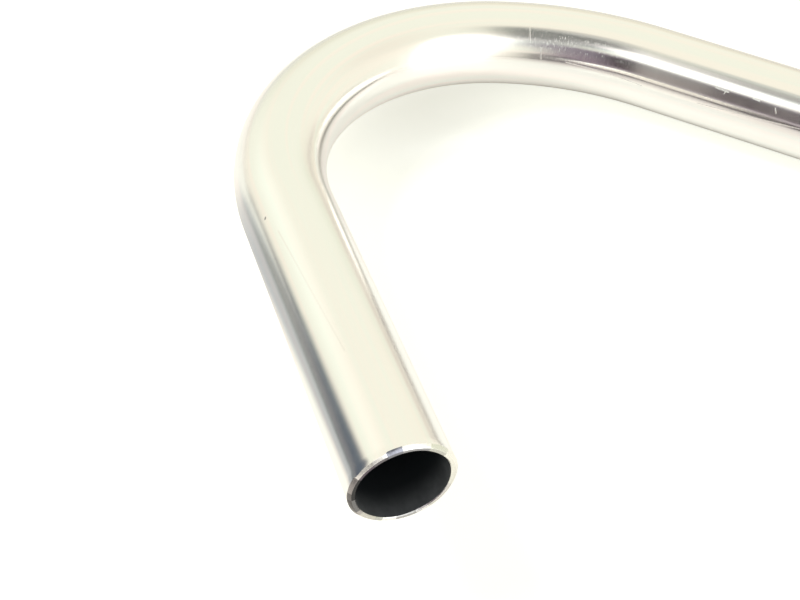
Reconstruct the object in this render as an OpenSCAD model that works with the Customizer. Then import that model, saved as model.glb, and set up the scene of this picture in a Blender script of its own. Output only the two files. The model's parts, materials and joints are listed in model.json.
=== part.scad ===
// Moustache handlebar: one bent aluminium tube with an open end on each grip.
// X runs across the bar, Y points forward from the clamp and Z points up.
// The clamp's centre is the origin, and the bar lies with its grip ends raised.

/* [Tube] */
// Outside diameter of the tube and of both grips
tube_diameter = 23.8; // [22.2:0.1:24.6]
// Wall thickness of the tube
wall_thickness = 1.6; // [1.3:0.1:2.0]

/* [Clamp] */
// Outside diameter of the swelled clamp zone
clamp_diameter = 25.4; // [25.0:0.1:26.0]
// Length of the clamp zone at full diameter
clamp_length = 50; // [42:1:56]
// Length of each cone between the clamp zone and the tube
taper_length = 7; // [5:0.5:9]
// Plain straight tube between each cone and the bend beside it
clamp_shoulder = 2; // [1:0.5:4]

/* [Shape] */
// Overall width across the outsides of the two grip ends
bar_width = 526; // [516:2:550]
// Forward sweep of each half after its centre bend, in degrees
forward_sweep = 52; // [49:1:54]
// Centreline radius of each centre bend
centre_radius = 65; // [60:1:68]
// Centreline radius of the gentle first part of each hook
ease_radius = 90; // [85:1:95]
// Angle of the gentle first part of each hook, in degrees
ease_angle = 31; // [28:1:34]
// Centreline radius of the tight part of each hook
hook_radius = 61.5; // [59:0.5:64]
// Angle of the tight part of each hook, in degrees
hook_angle = 105; // [102:1:108]
// Lift of each hook's plane out of the flat of the centre, in degrees
hook_lift = 6; // [3:0.5:9]
// Straight length of each grip, with its bevel
grip_length = 88; // [80:1:110]

/* [Tube ends] */
// Bevel on the outside edge of each open end
outer_bevel = 0.7; // [0.3:0.1:0.8]
// Bevel on the inside edge of each open end
inner_bevel = 0.2; // [0.1:0.05:0.3]

/* [Hidden] */
tube_r = tube_diameter / 2;
bore_r = tube_r - wall_thickness;
clamp_r = clamp_diameter / 2;
clamp_bore_r = clamp_r - wall_thickness;
clamp_half = clamp_length / 2;
overcut = 1;

// Each turn as the cosine and sine that place the piece after it
sweep_turn = neat_turn(forward_sweep);
ease_turn = neat_turn(ease_angle);
hook_turn = neat_turn(hook_angle);
lift_turn = neat_turn(180 - hook_lift);
full_turn = added(ease_turn, hook_turn);

// How far each hook reaches along the inner straight's line, and to the side of it
hook_along = ease_radius * ease_turn.y
    + hook_radius * (full_turn.y - ease_turn.y)
    + grip_length * full_turn.x;
hook_aside = ease_radius * (1 - ease_turn.x)
    + hook_radius * (ease_turn.x - full_turn.x)
    + grip_length * full_turn.y;

// The inner straight takes up whatever width the other pieces leave
end_edge_x = tube_r * sqrt(1 - pow(across(full_turn.x, full_turn.y), 2));
centre_x = clamp_half + taper_length + clamp_shoulder + centre_radius * sweep_turn.y;
spare_x = bar_width / 2 - centre_x - across(hook_along, hook_aside) - end_edge_x;
inner_length = spare_x / sweep_turn.x;

$fn = 96;

// The cosine and sine of an angle under 180 degrees, moved less than 0.05 degrees to a pair
// that are both whole millionths and leave the scale at 1, so that joined pieces meet exactly
function neat_turn(angle) =
    let (
        tried = [for (i = [-400:400])
            let (c = round(cos(angle) * 1e6 + i) / 1e6, s = round(sqrt(1 - c * c) * 1e6) / 1e6)
            [c, s, abs(c * c + s * s - 1)]],
        least = min([for (t = tried) t.z])
    )
    [for (t = tried) if (t.z == least) [t.x, t.y]][0];

// One turn followed by another
function added(first, second) = [
    first.x * second.x - first.y * second.y,
    first.y * second.x + first.x * second.y
];

// The share along X of a step in a hook's lifted plane
function across(along, aside) =
    along * sweep_turn.x - aside * sweep_turn.y * lift_turn.x;

// Turns what follows about Z
module turn_z(turn) {
    multmatrix([[turn.x, -turn.y, 0, 0], [turn.y, turn.x, 0, 0], [0, 0, 1, 0]])
        children();
}

// Turns what follows about X, the tube's own line
module turn_x(turn) {
    multmatrix([[1, 0, 0, 0], [0, turn.x, -turn.y, 0], [0, turn.y, turn.x, 0]])
        children();
}

// A solid of revolution along +X that starts at the origin
module rod(length, start_r, end_r) {
    rotate([0, 90, 0])
        cylinder(h = length, r1 = start_r, r2 = end_r);
}

// A straight run along +X, then whatever follows it
module straight(length, radius) {
    rod(length, radius, radius);
    translate([length, 0, 0])
        children();
}

// A ring kept only between its start plane and its end plane
module arc(bend_radius, turn, radius) {
    reach = bend_radius + radius + overcut;
    intersection() {
        rotate([0, 0, 90])
            rotate_extrude()
                translate([bend_radius, 0])
                    circle(r = radius);
        translate([0, -reach, -reach])
            cube([reach, 2 * reach, 2 * reach]);
        turn_z(turn)
            translate([-reach, -reach, -reach])
                cube([reach, 2 * reach, 2 * reach]);
    }
}

// A bend to the left in the local XY plane, then whatever follows it
module bend(bend_radius, turn, radius) {
    translate([0, bend_radius, 0])
        arc(bend_radius, turn, radius);
    translate([0, bend_radius, 0])
        turn_z(turn)
            translate([0, -bend_radius, 0])
                children();
}

// One half of a tube surface, from beside the clamp zone to the grip's end
module half_run(radius, straight_end) {
    translate([clamp_half + taper_length, 0, 0])
        straight(clamp_shoulder, radius)
            bend(centre_radius, sweep_turn, radius)
                straight(inner_length, radius)
                    turn_x(lift_turn)
                        bend(ease_radius, ease_turn, radius)
                            bend(hook_radius, hook_turn, radius)
                                straight(straight_end, radius)
                                    children();
}

// The swelled middle, with a cone on each side down to the tube
module clamp_zone(full_r, end_r) {
    translate([-clamp_half, 0, 0])
        rod(clamp_length, full_r, full_r);
    translate([clamp_half, 0, 0])
        rod(taper_length, full_r, end_r);
    mirror([1, 0, 0])
        translate([clamp_half, 0, 0])
            rod(taper_length, full_r, end_r);
}

module outside_half() {
    half_run(tube_r, grip_length - outer_bevel)
        rod(outer_bevel, tube_r, tube_r - outer_bevel);
}

// The bevel inside an open end, carried past the end so that it cuts cleanly
module bore_mouth(mouth_r) {
    rod(inner_bevel, bore_r, mouth_r);
    translate([inner_bevel, 0, 0])
        rod(overcut, mouth_r, mouth_r);
}

module bore_half() {
    half_run(bore_r, grip_length - inner_bevel)
        bore_mouth(bore_r + inner_bevel);
}

module handlebar() {
    color("silver")
        difference() {
            union() {
                clamp_zone(clamp_r, tube_r);
                outside_half();
                mirror([1, 0, 0])
                    outside_half();
            }
            union() {
                clamp_zone(clamp_bore_r, bore_r);
                bore_half();
                mirror([1, 0, 0])
                    bore_half();
            }
        }
}

handlebar();
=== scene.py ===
import json
import math

import bpy
import numpy as np
from mathutils import Matrix, Vector


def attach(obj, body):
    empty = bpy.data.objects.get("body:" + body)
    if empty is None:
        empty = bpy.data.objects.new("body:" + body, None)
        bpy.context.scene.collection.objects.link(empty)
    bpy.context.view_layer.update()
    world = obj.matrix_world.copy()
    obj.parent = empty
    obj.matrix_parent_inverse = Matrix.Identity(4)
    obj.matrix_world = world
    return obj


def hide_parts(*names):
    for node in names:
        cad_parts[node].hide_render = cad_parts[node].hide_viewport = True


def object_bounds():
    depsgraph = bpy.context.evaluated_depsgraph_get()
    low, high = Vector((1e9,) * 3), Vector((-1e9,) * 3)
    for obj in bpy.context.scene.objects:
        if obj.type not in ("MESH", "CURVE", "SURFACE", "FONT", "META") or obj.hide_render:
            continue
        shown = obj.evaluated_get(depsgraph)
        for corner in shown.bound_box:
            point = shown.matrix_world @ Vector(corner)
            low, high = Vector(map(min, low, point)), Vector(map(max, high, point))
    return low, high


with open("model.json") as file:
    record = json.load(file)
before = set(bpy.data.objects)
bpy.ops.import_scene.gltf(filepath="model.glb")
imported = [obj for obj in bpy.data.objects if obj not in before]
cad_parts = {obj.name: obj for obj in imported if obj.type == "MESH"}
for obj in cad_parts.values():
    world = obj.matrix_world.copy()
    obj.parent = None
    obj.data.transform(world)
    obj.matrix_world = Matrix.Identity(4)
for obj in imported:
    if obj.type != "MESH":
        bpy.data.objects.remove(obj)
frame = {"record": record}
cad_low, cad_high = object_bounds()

# Moustache handlebar: a satin-polished aluminium tube that lies on a pale table.
# Metres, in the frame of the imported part: X across the bar, Y forward and Z up, with the origin
# at the clamp's centre. The photograph shows the left half, which is on the -X side.

MM = 0.001
UP = Vector((0, 0, 1))
MOUNTS = {m["name"]: m for m in frame["record"]["mounts"]}


def size_of(mount, key):
    return MOUNTS[mount]["dims"][key] * MM


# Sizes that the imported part's mounts state
CLAMP_R = size_of("stem_clamp", "r_mm")
CLAMP_HALF = size_of("stem_clamp", "length_mm") / 2
TUBE_R = size_of("grip_left", "r_mm")
BORE_R = size_of("bar_end_left", "r_mm")

# The part's other sizes, repeated from its source
OUTER_BEVEL = 0.7 * MM
INNER_BEVEL = 0.2 * MM
GRIP_LENGTH = size_of("grip_left", "length_mm") + OUTER_BEVEL
TAPER_LENGTH = 7 * MM
CLAMP_SHOULDER = 2 * MM
CENTRE_RADIUS = 65 * MM
CENTRE_ANGLE = 52
INNER_LENGTH = 57.854 * MM  # what the other pieces leave of the bar's width
EASE_RADIUS = 90 * MM
EASE_ANGLE = 31
HOOK_RADIUS = 61.5 * MM
HOOK_ANGLE = 105
HOOK_LIFT = 6

# How finely the mesh is divided: points in a ring, then the step between rings on a straight
# and the turn between rings in a bend, in degrees
SEGMENTS = 144
SKIN_STEP, SKIN_TURN = 2.5 * MM, 1.5
BORE_STEP, BORE_TURN = 8 * MM, 4

# The edges of each mouth
SOFT_EDGE = 0.05 * MM
RIM_ZONE = OUTER_BEVEL * 1.6
SHARP_ANGLE = 28


class Station:
    """A point on the tube's centreline, with the directions along it and to its upper side."""

    def __init__(self, reached, centre, along, top):
        self.reached = reached
        self.centre = centre
        self.along = along
        self.top = top

    def mirrored(self):
        def flip(v):
            return Vector((-v.x, v.y, v.z))

        return Station(-self.reached, flip(self.centre), -flip(self.along), flip(self.top))

    def ring_point(self, radius, angle, advance=0.0):
        side = self.along.cross(self.top)
        out = math.cos(angle) * self.top + math.sin(angle) * side
        return self.centre + radius * out + advance * self.along


def neat_turn(degrees):
    """The angle, in radians, that the part's source turns by.

    Its cosine and sine are whole millionths, the nearest pair that leaves the scale at 1.
    """
    million = 1e6
    angle = math.radians(degrees)
    best = None
    for i in range(-400, 401):
        c = math.floor(math.cos(angle) * million + i + 0.5) / million
        s = math.floor(math.sqrt(1 - c * c) * million + 0.5) / million
        error = abs(c * c + s * s - 1)
        if best is None or error < best[0]:
            best = (error, math.atan2(s, c))
    return best[1]


def straight(stations, length, step):
    """Adds stations along a straight run."""
    last = stations[-1]
    count = max(math.ceil(length / step), 1)
    for i in range(1, count + 1):
        gone = length * i / count
        centre = last.centre + last.along * gone
        stations.append(Station(last.reached + gone, centre, last.along, last.top))


def bend(stations, radius, degrees, axis, turn_step):
    """Adds stations round a bend about an axis, with the upper side carried along."""
    last = stations[-1]
    middle = last.centre + axis.cross(last.along) * radius
    count = max(math.ceil(degrees / turn_step), 1)
    for i in range(1, count + 1):
        angle = neat_turn(degrees) * i / count
        turn = Matrix.Rotation(angle, 3, axis)
        stations.append(Station(
            last.reached + radius * angle,
            middle + turn @ (last.centre - middle),
            turn @ last.along,
            turn @ last.top,
        ))


def half_line(step, turn_step):
    """The stations of the right half, from the clamp's centre to the grip's end."""
    stations = [Station(0.0, Vector((0, 0, 0)), Vector((1, 0, 0)), UP.copy())]
    straight(stations, CLAMP_HALF, step)
    straight(stations, TAPER_LENGTH, step)
    straight(stations, CLAMP_SHOULDER, step)
    bend(stations, CENTRE_RADIUS, CENTRE_ANGLE, UP, turn_step)
    straight(stations, INNER_LENGTH, step)
    left = UP.cross(stations[-1].along)
    lift = math.pi - neat_turn(180 - HOOK_LIFT)
    hook_axis = -(UP * math.cos(lift) + left * math.sin(lift))
    bend(stations, EASE_RADIUS, EASE_ANGLE, hook_axis, turn_step)
    bend(stations, HOOK_RADIUS, HOOK_ANGLE, hook_axis, turn_step)
    straight(stations, GRIP_LENGTH, step)
    return stations


def whole_line(step, turn_step):
    """The stations of the whole bar, from the left grip's end to the right one's."""
    right = half_line(step, turn_step)
    return [s.mirrored() for s in reversed(right[1:])] + right


# How far the tube's centreline runs from the middle to each end
END_REACH = half_line(SKIN_STEP, SKIN_TURN)[-1].reached


def smooth_step(t):
    t = min(max(t, 0.0), 1.0)
    return t * t * (3 - 2 * t)


def swell(reached):
    """How much wider than the tube the clamp zone and its cones are, at a place along the bar."""
    gone = (CLAMP_HALF + TAPER_LENGTH - abs(reached)) / TAPER_LENGTH
    return (CLAMP_R - TUBE_R) * smooth_step(gone)


# Flats filed round each mouth: where each starts, in degrees from the ring's lower side, the
# bevel's depth as a share of the full depth, and the colours of the land and of the bevel.
# These colours are painted reflections and painted shade: the light and dark tones each flat
# mirrors, set as its metal colour
FLATS_AND_PAINTED_REFLECTIONS = [
    (0, 1.0, (0.96, 0.96, 0.93), (0.97, 0.97, 0.96)),
    (16, 1.0, (0.52, 0.53, 0.50), (0.52, 0.54, 0.50)),
    (26, 1.1, (0.62, 0.61, 0.56), (0.76, 0.75, 0.68)),
    (49, 1.0, (0.46, 0.44, 0.42), (0.26, 0.235, 0.22)),
    (56, 1.0, (0.20, 0.20, 0.20), (0.105, 0.098, 0.094)),
    (78, 1.0, (0.05, 0.05, 0.05), (0.17, 0.16, 0.155)),
    (90, 1.0, (0.055, 0.055, 0.055), (0.36, 0.335, 0.325)),
    (112, 0.5, (0.14, 0.12, 0.14), (0.97, 0.93, 0.88)),
    (120, 0.5, (0.13, 0.11, 0.13), (0.93, 0.90, 0.86)),
    (136, 0.5, (0.17, 0.16, 0.17), (0.97, 0.95, 0.95)),
    (152, 1.0, (0.24, 0.245, 0.27), (0.31, 0.32, 0.38)),
    (169, 1.0, (0.36, 0.36, 0.37), (0.97, 0.97, 0.97)),
    (200, 1.0, (0.55, 0.55, 0.50), (0.76, 0.78, 0.70)),
    (224, 1.0, (0.90, 0.90, 0.82), (0.93, 0.93, 0.86)),
    (280, 1.0, (0.78, 0.76, 0.73), (0.96, 0.95, 0.92)),
    (312, 1.1, (0.74, 0.74, 0.69), (0.86, 0.87, 0.83)),
    (320, 1.0, (0.96, 0.96, 0.95), (0.96, 0.96, 0.94)),
    (328, 1.0, (0.78, 0.78, 0.80), (0.80, 0.80, 0.82)),
    (335, 1.1, (0.47, 0.47, 0.47), (0.46, 0.46, 0.45)),
]
LAND_COLUMN, BEVEL_COLUMN = 2, 3
FLAT_BLEND = 2.0

# The file's waves round the ring: share of the bevel's depth, number of waves and phase
FILE_WAVES = [(0.03, 7, 2.1), (0.02, 13, 0.0)]


def bevel_depth(angle):
    """The bevel's depth as a share of the full depth, stepped from flat to flat."""
    turned = (math.degrees(angle) + 180) % 360
    share = FLATS_AND_PAINTED_REFLECTIONS[-1][1]
    for start, depth, _, _ in FLATS_AND_PAINTED_REFLECTIONS:
        share += (depth - share) * smooth_step((turned - start) / FLAT_BLEND)
    return share


def mouth_profile(angle):
    """(advance, radius) pairs over the rim: the bevel's, then the land's and the inner edge's."""
    filed = sum(share * math.sin(count * angle + phase) for share, count, phase in FILE_WAVES)
    bevel = OUTER_BEVEL * (bevel_depth(angle) + filed)
    land = TUBE_R - OUTER_BEVEL * (1.0 + filed)
    inner = INNER_BEVEL * (0.9 + 0.3 * math.sin(5 * angle + 1.3))
    return [
        (-bevel - SOFT_EDGE, TUBE_R),
        (-bevel + SOFT_EDGE * 0.4, TUBE_R - SOFT_EDGE * 0.5),
        (-SOFT_EDGE * 0.6, land + SOFT_EDGE * 0.7),
        (0.0, land - SOFT_EDGE * 0.6),
        (0.0, BORE_R + inner),
        (-inner, BORE_R),
    ]


MOUTH_RINGS = len(mouth_profile(0.0))
BEVEL_RINGS = 3

# The mesh's materials, in the order of its slots
KINDS = ("skin", "bore", "land", "bevel")


def face_kind(first, second):
    """The material of the faces between two rings."""
    for kind in ("bore", "skin", "bevel"):
        if kind in (first, second):
            return kind
    return "land"


def tube_mesh(name):
    """One closed mesh: the skin from left to right, the right rim, the bore and the left rim."""
    skin_line = whole_line(SKIN_STEP, SKIN_TURN)
    bore_line = whole_line(BORE_STEP, BORE_TURN)
    last_round = skin_line[-1].reached - RIM_ZONE
    angles = [math.tau * j / SEGMENTS + math.pi for j in range(SEGMENTS)]
    profiles = [mouth_profile(a) for a in angles]
    rings, kinds, reaches = [], [], []

    def add_ring(points, kind, reached):
        rings.append(points)
        kinds.append(kind)
        reaches.append(reached)

    def add_rounds(line, radius, kind):
        for station in line:
            if abs(station.reached) < last_round:
                wide = radius + swell(station.reached)
                add_ring([station.ring_point(wide, a) for a in angles], kind, station.reached)

    def add_mouth(station, sign, order):
        for k in order:
            points = [
                station.ring_point(profile[k][1], a, sign * profile[k][0])
                for a, profile in zip(angles, profiles)
            ]
            kind = "bevel" if k < BEVEL_RINGS else "land"
            add_ring(points, kind, station.reached + sign * profiles[0][k][0])

    add_rounds(skin_line, TUBE_R, "skin")
    add_mouth(skin_line[-1], 1, range(MOUTH_RINGS))
    add_rounds(reversed(bore_line), BORE_R, "bore")
    add_mouth(skin_line[0], -1, reversed(range(MOUTH_RINGS)))

    verts = [p for ring in rings for p in ring]
    faces, loops_uv, slots = [], [], []
    for i in range(len(rings)):
        n = (i + 1) % len(rings)
        slot = KINDS.index(face_kind(kinds[i], kinds[n]))
        for j in range(SEGMENTS):
            k = (j + 1) % SEGMENTS
            faces.append((
                i * SEGMENTS + j,
                i * SEGMENTS + k,
                n * SEGMENTS + k,
                n * SEGMENTS + j,
            ))
            around = [TUBE_R * math.tau * q / SEGMENTS for q in (j, j + 1, j + 1, j)]
            along = [reaches[i], reaches[i], reaches[n], reaches[n]]
            loops_uv.extend(zip(along, around))
            slots.append(slot)
    mesh = bpy.data.meshes.new(name)
    mesh.from_pydata(verts, [], faces)
    uv = mesh.uv_layers.new(name="skin")
    uv.data.foreach_set("uv", np.array(loops_uv, np.float32).ravel())
    mesh.polygons.foreach_set("material_index", slots)
    mesh.polygons.foreach_set("use_smooth", [True] * len(faces))
    mesh.set_sharp_from_angle(angle=math.radians(SHARP_ANGLE))
    mesh.update()
    return mesh


def skin_place(along, degrees):
    """A place in the skin's UV map: mm along from the middle, degrees round from the top."""
    return Vector((along * MM, TUBE_R * math.radians((degrees + 180) % 360), 0))


# The skin's UV map has metres along the tube in U and metres round it in V
ALONG, AROUND = (1, 0, 0), (0, 1, 0)


class Nodes:
    """Short calls that add nodes to a tree and link their inputs."""

    def __init__(self, tree):
        self.tree = tree
        tree.nodes.clear()

    def put(self, value, socket):
        if isinstance(value, bpy.types.NodeSocket):
            self.tree.links.new(value, socket)
        else:
            socket.default_value = value

    def add(self, kind, inputs=None, **settings):
        made = self.tree.nodes.new(kind)
        for key, value in settings.items():
            setattr(made, key, value)
        for key, value in (inputs or {}).items():
            self.put(value, made.inputs[key])
        return made

    def math(self, operation, *values):
        made = self.add("ShaderNodeMath", dict(enumerate(values)), operation=operation)
        return made.outputs[0]

    def plus(self, a, b):
        return self.math("ADD", a, b)

    def minus(self, a, b):
        return self.math("SUBTRACT", a, b)

    def times(self, a, b):
        return self.math("MULTIPLY", a, b)

    def most(self, *values):
        """The greatest of several values."""
        found = values[0]
        for value in values[1:]:
            found = self.math("MAXIMUM", found, value)
        return found

    def away(self, value, place):
        """The distance between a value and a place on the same scale."""
        return self.math("ABSOLUTE", self.minus(value, place))

    def ramp(self, value, low, high, to_low=0.0, to_high=1.0):
        made = self.add(
            "ShaderNodeMapRange",
            {"Value": value, "From Min": low, "From Max": high, "To Min": to_low, "To Max": to_high},
            interpolation_type="SMOOTHSTEP",
        )
        return made.outputs["Result"]

    def mix(self, share, a, b):
        made = self.add("ShaderNodeMix", {"Factor": share, "A": a, "B": b}, data_type="RGBA")
        return next(o for o in made.outputs if o.type == "RGBA")

    def dot(self, vector, axis):
        made = self.add("ShaderNodeVectorMath", {0: vector, 1: axis}, operation="DOT_PRODUCT")
        return made.outputs["Value"]

    def skin_uv(self):
        return self.add("ShaderNodeUVMap", uv_map="skin").outputs["UV"]

    def noise(self, uv, along, around, detail, roughness):
        """Noise with a number of cells per metre along the tube, and a number round it."""
        cells = self.add("ShaderNodeMapping", {"Vector": uv, "Scale": (along, around, 1.0)})
        made = self.add("ShaderNodeTexNoise", {
            "Vector": cells.outputs["Vector"],
            "Scale": 1.0,
            "Detail": detail,
            "Roughness": roughness,
        })
        return made.outputs["Fac"]

    def line(self, uv, start, end, half_width):
        """1 on a fine line between two places on the skin, given as (mm along, degrees round)."""
        a, b = skin_place(*start), skin_place(*end)
        ahead = (b - a).normalized()
        aside = Vector((-ahead.y, ahead.x, 0))
        middle = (a + b) / 2
        off = self.away(self.dot(uv, aside), aside.dot(middle))
        gone = self.away(self.dot(uv, ahead), ahead.dot(middle))
        half, width = (b - a).length / 2, half_width * MM
        across = self.ramp(off, width * 0.4, width * 1.4, 1.0, 0.0)
        return self.times(across, self.ramp(gone, half - width, half + width * 2, 1.0, 0.0))

    def lines(self, uv, table):
        """1 on any of the lines of a table."""
        return self.most(*[self.line(uv, *row) for row in table])

    def principled(self, inputs):
        shader = self.add("ShaderNodeBsdfPrincipled", inputs)
        self.add("ShaderNodeOutputMaterial", {"Surface": shader.outputs[0]})


def new_material(name):
    material = bpy.data.materials.new(name)
    material.use_nodes = True
    return material, Nodes(material.node_tree)


# Wear on the left half: (start, end, half width in mm), with places as skin_place takes them
SCRATCHES = [
    ((-188.8, 28), (-188.3, 49), 0.15),
    ((-184.8, 55), (-184.2, 71), 0.12),
    ((-129.8, 50.5), (-126.2, 51.5), 0.20),
    ((-126.8, 51), (-127.2, 55), 0.13),
    ((-119.2, 49.5), (-117.4, 50.5), 0.18),
    ((-112.7, 53), (-112.1, 59), 0.17),
    ((-133.5, 78.5), (-104.0, 69), 0.15),
    ((-176.0, 71), (-150.0, 79), 0.11),
]
SPECKS = [
    ((-322.4, 308.2), (-322.0, 309.6), 0.24),
    ((-162.0, 325.4), (-161.6, 326.4), 0.22),
]
SEAM = [((-328.7, 318), (-371.2, 335), 0.22)]

# The middle of the patch that was rubbed harder, in the skin's UV map
RUBBED_ALONG, RUBBED_AROUND = -172 * MM, 47 * MM

WARM_TONE = (0.945, 0.915, 0.885, 1)
COOL_TONE = (0.905, 0.925, 0.895, 1)
SEAM_TONE = (0.84, 0.82, 0.79, 1)
SPECK_TONE = (0.05, 0.055, 0.04, 1)
FINE_RELIEF = 0.04 * MM


def satin_aluminium():
    """Satin metal whose fine grain runs round the tube, with its wear."""
    material, n = new_material("satin_aluminium")
    uv = n.skin_uv()
    grain = n.noise(uv, 3600, 420, 2.0, 0.6)

    # Dashes along the grain, dense in the rubbed patch and rare elsewhere
    dashes = n.ramp(n.noise(uv, 3300, 850, 1.0, 0.5), 0.54, 0.76)
    from_patch = n.away(n.dot(uv, ALONG), RUBBED_ALONG)
    dashes = n.times(dashes, n.ramp(from_patch, 6 * MM, 34 * MM, 1.0, 0.04))
    beside_patch = n.away(n.dot(uv, AROUND), RUBBED_AROUND)
    dashes = n.times(dashes, n.ramp(beside_patch, 1.2 * MM, 4.2 * MM, 0.62, 0.16))

    # Scratches and nicks, broken up along their length
    torn = n.ramp(n.noise(uv, 2600, 2600, 1.0, 0.5), 0.34, 0.46, 0.25, 1.0)
    bare = n.most(n.times(n.lines(uv, SCRATCHES), torn), n.times(dashes, 0.6))

    clouds = n.ramp(n.noise(uv, 60, 90, 3.0, 0.55), 0.3, 0.7, 0.14, 0.18)
    bands = n.ramp(n.noise(uv, 5, 340, 2.0, 0.5), 0.38, 0.62)
    specks = n.lines(uv, SPECKS)
    tone = n.mix(bands, WARM_TONE, COOL_TONE)
    tone = n.mix(n.times(n.lines(uv, SEAM), 0.5), tone, SEAM_TONE)
    tone = n.mix(specks, tone, SPECK_TONE)
    height = n.plus(n.times(grain, 0.5), n.times(bare, 0.6))
    bump = n.add("ShaderNodeBump", {"Strength": 0.22, "Distance": FINE_RELIEF, "Height": height})
    tangent = n.add("ShaderNodeTangent", direction_type="UV_MAP", uv_map="skin")
    n.principled({
        "Base Color": tone,
        "Metallic": n.minus(1.0, specks),
        "Roughness": n.plus(clouds, n.times(bare, 0.45)),
        "Anisotropic": 0.85,
        "Tangent": tangent.outputs["Tangent"],
        "Normal": bump.outputs["Normal"],
    })
    return material


def rim_painted_reflections(name, column):
    """Bright metal in the colours that one column of the flats table gives round the ring: painted
    reflections and painted shade, not the metal's own tone.
    """
    material, n = new_material(name)
    uv = n.skin_uv()
    turned = n.math("DIVIDE", n.dot(uv, AROUND), math.tau * TUBE_R)
    ramp = n.add("ShaderNodeValToRGB", {"Fac": turned})
    ramp.color_ramp.interpolation = "CONSTANT"
    stops = ramp.color_ramp.elements
    stops.remove(stops[1])
    stops[0].color = (*FLATS_AND_PAINTED_REFLECTIONS[0][column], 1)
    for flat in FLATS_AND_PAINTED_REFLECTIONS[1:]:
        stops.new(flat[0] / 360).color = (*flat[column], 1)
    marks = n.noise(uv, 900, 1400, 2.0, 0.6)
    bump = n.add("ShaderNodeBump", {"Strength": 0.2, "Distance": FINE_RELIEF, "Height": marks})
    n.principled({
        "Base Color": ramp.outputs["Color"],
        "Metallic": 1.0,
        "Roughness": n.ramp(marks, 0.3, 0.7, 0.22, 0.34),
        "Normal": bump.outputs["Normal"],
    })
    return material


# The bore's dull dark colour, and the painted light that makes it greyer just inside each mouth
BORE_DEEP = (0.026, 0.031, 0.034, 1)
BORE_MOUTH_PAINTED_LIGHT = (0.185, 0.195, 0.20, 1)
BORE_PAINTED_LIGHT_DEPTH = 8 * MM


def dark_bore():
    """The dull drawn bore, greyer just inside each mouth with uneven painted light."""
    material, n = new_material("dark_bore")
    uv = n.skin_uv()
    depth = n.minus(END_REACH, n.math("ABSOLUTE", n.dot(uv, ALONG)))
    # Painted light just inside each mouth, made uneven by noise and fading over a few millimetres
    uneven = n.ramp(n.noise(uv, 260, 260, 3.0, 0.6), 0.3, 0.7, 0.7, 1.0)
    painted_light = n.times(n.ramp(depth, 0.0, BORE_PAINTED_LIGHT_DEPTH, 1.0, 0.0), uneven)
    n.principled({
        "Base Color": n.mix(painted_light, BORE_DEEP, BORE_MOUTH_PAINTED_LIGHT),
        "Metallic": 0.0,
        "Roughness": 0.8,
        "Specular IOR Level": 0.15,
    })
    return material


# Level directions along which the table's painted shade and glow change
OUT_LEFT = (-0.67, 0.74, 0)
FORWARD_RIGHT = (0.71, 0.70, 0)
FAR_BACK = (-0.84, -0.54, 0)
FORWARD = (0.5, 0.86, 0)

TABLE_HALF = 4.0
TABLE_COLOUR = (0.50, 0.487, 0.45, 1)
TABLE_IN_METAL = (1.0, 0.955, 0.875, 1)
TABLE_IN_METAL_SHADED = (0.90, 0.96, 1.06, 1)
TABLE_SEEN = (0.985, 1.0, 0.90, 1)
CONTACT_REACH = 0.03
# The middle and reach of the painted pool of shade that the camera sees on the table
SHADE_POOL_X, SHADE_POOL_Y = -0.184, 0.094
SHADE_POOL_RADIUS = 0.055
DIRECT_GLOSS_LIMIT = 0.06
BLACK, WHITE = (0, 0, 0, 1), (1, 1, 1, 1)


def table_painted_shade(n, place):
    """How deep the painted shade on the table is, by place: on the bar's far left and far behind it.
    """
    out_left = n.dot(place, OUT_LEFT)
    near = n.ramp(out_left, 0.188, 0.228)
    far = n.ramp(out_left, 0.252, 0.288)
    behind = n.ramp(n.dot(place, FORWARD_RIGHT), -0.148, -0.105, 1.0, 0.0)
    deep = n.plus(n.times(near, 0.50), n.times(far, 0.20))
    left = n.plus(n.times(behind, deep), n.times(far, 0.08))
    return n.most(left, n.ramp(n.dot(place, FAR_BACK), 0.29, 0.42, 0.0, 0.9))


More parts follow.
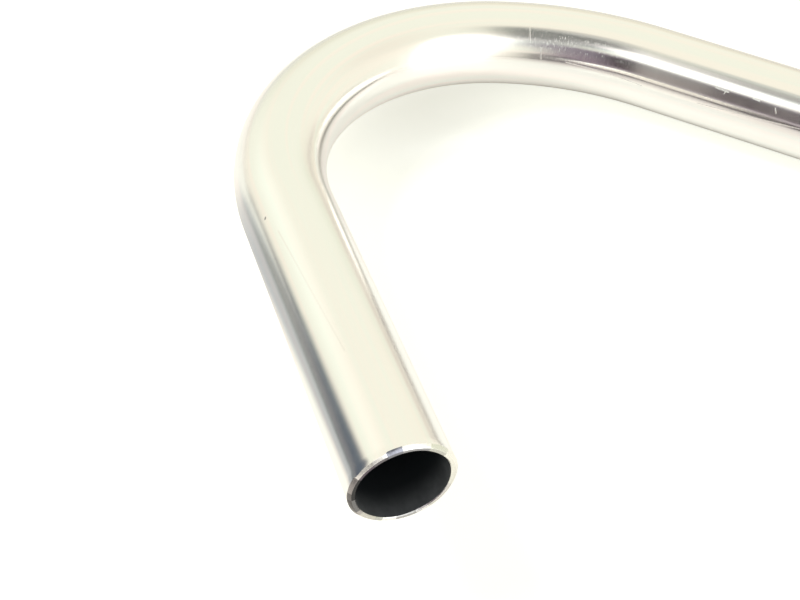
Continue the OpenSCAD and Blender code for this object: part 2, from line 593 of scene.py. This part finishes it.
def table_white(level):
    """A polished white table. Reflections see it dimmer, with painted shade by place as from a near
    room, and seen directly it has a painted pool of shade.
    """
    material, n = new_material("table_white")
    place = n.add("ShaderNodeNewGeometry").outputs["Position"]
    path = n.add("ShaderNodeLightPath").outputs
    seen, glossy = path["Is Camera Ray"], path["Is Glossy Ray"]
    # Painted shade by place, which only reflections see
    shade = table_painted_shade(n, place)
    painted_lit = n.minus(1.0, n.times(shade, glossy))
    diffuse = n.add("ShaderNodeBsdfDiffuse", {"Color": n.mix(painted_lit, BLACK, TABLE_COLOUR)})

    # The glow that reflections see, with painted shade: dimmer ahead of the bar and where the bar
    # touches the table
    ahead = n.ramp(n.dot(place, FORWARD), 0.045, 0.078, 0.66, 0.31)
    contact = n.add("ShaderNodeAmbientOcclusion", {"Distance": CONTACT_REACH}, samples=8)
    touched = n.ramp(contact.outputs["AO"], 0.05, 0.50, 0.08, 1.0)
    in_gloss = n.times(n.times(ahead, touched), painted_lit)
    in_gloss = n.times(in_gloss, n.most(glossy, path["Is Transmission Ray"]))

    # The glow that whitens the table as seen directly, with a painted pool of shade in the hook's
    # front
    shade_pool = (SHADE_POOL_X, SHADE_POOL_Y, level)
    from_shade_pool = n.add("ShaderNodeVectorMath", {0: place, 1: shade_pool}, operation="DISTANCE")
    by_eye = n.times(n.ramp(from_shade_pool.outputs["Value"], 0.0, SHADE_POOL_RADIUS, 0.61, 0.87), seen)

    # In reflections the painted shade also makes the table's colour bluer
    in_metal = n.mix(n.ramp(shade, 0.1, 0.6), TABLE_IN_METAL, TABLE_IN_METAL_SHADED)
    glow = n.add("ShaderNodeEmission", {
        "Color": n.mix(seen, in_metal, TABLE_SEEN),
        "Strength": n.plus(in_gloss, by_eye),
    })
    both = n.add("ShaderNodeAddShader", {0: diffuse.outputs[0], 1: glow.outputs[0]})

    # Seen directly, the polish stays weak at a low angle, so the table is white from every side
    polish = n.add("ShaderNodeBsdfGlossy", {"Color": WHITE, "Roughness": 0.12})
    fresnel = n.add("ShaderNodeFresnel", {"IOR": 1.45})
    limit = n.minus(1 + DIRECT_GLOSS_LIMIT, seen)
    gloss = n.math("MINIMUM", fresnel.outputs[0], limit)
    top = n.add("ShaderNodeMixShader", {0: gloss, 1: both.outputs[0], 2: polish.outputs[0]})
    n.add("ShaderNodeOutputMaterial", {"Surface": top.outputs[0]})
    return material


def make_floor(level):
    mesh = bpy.data.meshes.new("table")
    corners = [(-1, -1), (1, -1), (1, 1), (-1, 1)]
    verts = [(x * TABLE_HALF, y * TABLE_HALF, level) for x, y in corners]
    mesh.from_pydata(verts, [], [(0, 1, 2, 3)])
    floor = bpy.data.objects.new("table", mesh)
    bpy.context.scene.collection.objects.link(floor)
    mesh.materials.append(table_white(level))


def direction_of(azimuth, elevation):
    """A direction: degrees of azimuth from +Y towards +X, and degrees of elevation."""
    a, e = math.radians(azimuth), math.radians(elevation)
    return Vector((math.sin(a) * math.cos(e), math.cos(a) * math.cos(e), math.sin(e)))


# The room round the table, which reflections see: a cream wall with soft patches, all in degrees
# (azimuth, elevation, tilt, half width, half height, soft width, soft height, colour)
ROOM_CREAM = (1.01, 0.985, 0.845, 1)
ROOM_PATCHES = [
    (28, 0, 0, 26, 12, 14, 9, (0.86, 0.84, 0.69, 1)),
    (-22, 32, 0, 12, 12, 10, 10, (1.10, 1.10, 0.96, 1)),
    (100, 44, 0, 16, 12, 12, 10, (0.98, 0.90, 0.77, 1)),
    (166, 14, 0, 21, 38, 6, 10, (2.2, 2.2, 2.15, 1)),
    (-150, 67, 0, 14.5, 17, 2.5, 6, (0.20, 0.21, 0.20, 1)),
    (-122, 82, 0, 8, 4, 4, 3, (0.60, 0.60, 0.56, 1)),
    (-102, 68, 0, 3, 6, 2, 3, (1.05, 1.04, 1.00, 1)),
    (-119, 70, 0, 3.5, 4, 2, 2, (0.12, 0.12, 0.12, 1)),
    (56, 0, 0, 10, 3, 4, 2, (0.70, 0.64, 0.56, 1)),
    (-153, 42, 0, 8, 12, 5, 7, (0.42, 0.41, 0.41, 1)),
    (-98, 53, 0, 16, 10.5, 5, 3.5, (1.7, 1.7, 1.68, 1)),
    (-133, 21, 0, 19, 23, 6, 5, (0.27, 0.217, 0.262, 1)),
    (-150, 5, 0, 9, 7, 5, 4, (0.12, 0.11, 0.12, 1)),
    (-124, 26, 0, 5.5, 13, 3, 4, (0.01, 0.006, 0.008, 1)),
    (-124, 9, 0, 4, 2.0, 2, 1.5, (0.60, 0.56, 0.56, 1)),
    (-123, 1, 0, 7, 5, 3, 2, (0.03, 0.025, 0.03, 1)),
    (-64, -4, 25, 26, 27, 4, 6, (0.11, 0.13, 0.165, 1)),
]
PLAIN_LIGHT = (0.45, 0.45, 0.45, 1)


def room_patch(n, direction, azimuth, elevation, tilt, wide, high, soft_wide, soft_high):
    """1 inside a soft rectangle of the room that faces a direction, and 0 outside."""
    centre = direction_of(azimuth, elevation)
    level = Vector((math.cos(math.radians(azimuth)), -math.sin(math.radians(azimuth)), 0))
    turn = Matrix.Rotation(-math.radians(tilt), 3, centre)
    across, upward = turn @ level, turn @ level.cross(centre)
    ahead = n.dot(direction, centre)
    inside = 1.0
    for axis, half, soft in ((across, wide, soft_wide), (upward, high, soft_high)):
        off = n.math("ARCTAN2", n.math("ABSOLUTE", n.dot(direction, axis)), ahead)
        off = n.times(off, math.degrees(1))
        inside = n.times(n.ramp(off, half - soft, half + soft, 1.0, 0.0), inside)
    return inside


def make_world():
    """Plain soft light for the surfaces, the room for reflections and white for the camera."""
    world = bpy.data.worlds.new("studio")
    bpy.context.scene.world = world
    world.use_nodes = True
    world.cycles.sampling_method = "NONE"
    n = Nodes(world.node_tree)
    direction = n.add("ShaderNodeTexCoord").outputs["Generated"]
    colour = ROOM_CREAM
    for *place, patch in ROOM_PATCHES:
        colour = n.mix(room_patch(n, direction, *place), colour, patch)
    path = n.add("ShaderNodeLightPath").outputs
    room = n.mix(path["Is Glossy Ray"], PLAIN_LIGHT, colour)
    shown = n.mix(path["Is Camera Ray"], room, WHITE)
    back = n.add("ShaderNodeBackground", {"Color": shown, "Strength": 1.0})
    n.add("ShaderNodeOutputWorld", {"Surface": back.outputs[0]})


# The one lamp: a soft box that looks at the middle of the left hook
KEY_AIM = Vector((-0.19, 0.04, 0.0))
KEY_AZIMUTH, KEY_ELEVATION, KEY_DISTANCE = -45, 48, 1.6
KEY_WIDTH, KEY_HEIGHT = 0.6, 0.5
KEY_POWER = 17.5


def make_key():
    light = bpy.data.lights.new("key", "AREA")
    light.shape = "RECTANGLE"
    light.size = KEY_WIDTH
    light.size_y = KEY_HEIGHT
    light.energy = KEY_POWER
    lamp = bpy.data.objects.new("key", light)
    lamp.location = KEY_AIM + KEY_DISTANCE * direction_of(KEY_AZIMUTH, KEY_ELEVATION)
    lamp.rotation_euler = (KEY_AIM - lamp.location).to_track_quat("-Z", "Y").to_euler()
    lamp.visible_glossy = False
    bpy.context.scene.collection.objects.link(lamp)


# The camera's fit to the photograph: millimetres, metres, and degrees
CAMERA_LENS, CAMERA_SENSOR = 57.1, 36
CAMERA_PLACE = (-0.31044, -0.16360, 0.23755)
CAMERA_HEADING, CAMERA_LOOK_DOWN, CAMERA_ROLL = -24.97, 49.54, 0.37


def make_camera():
    data = bpy.data.cameras.new("camera")
    data.lens = CAMERA_LENS
    data.sensor_width = CAMERA_SENSOR
    data.clip_start = 0.01
    data.clip_end = 50
    camera = bpy.data.objects.new("camera", data)
    camera.location = CAMERA_PLACE
    heading = Matrix.Rotation(math.radians(CAMERA_HEADING), 3, "Z")
    tilt = Matrix.Rotation(math.radians(90 - CAMERA_LOOK_DOWN), 3, "X")
    roll = Matrix.Rotation(math.radians(CAMERA_ROLL), 3, "Z")
    camera.rotation_euler = (heading @ tilt @ roll).to_euler()
    bpy.context.scene.collection.objects.link(camera)
    bpy.context.scene.camera = camera


make_camera()
bar = bpy.data.objects.new("bent_tube", tube_mesh("bent_tube"))
bpy.context.scene.collection.objects.link(bar)
for finish in (
    satin_aluminium(),
    dark_bore(),
    # The land's and the bevel's colours are painted reflections and painted shade
    rim_painted_reflections("land_painted_reflections", LAND_COLUMN),
    rim_painted_reflections("bevel_painted_reflections", BEVEL_COLUMN),
):
    bar.data.materials.append(finish)
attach(bar, "root")
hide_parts("handlebar")

make_floor(cad_low.z)
make_world()
make_key()
bpy.context.scene.view_settings.view_transform = "Standard"
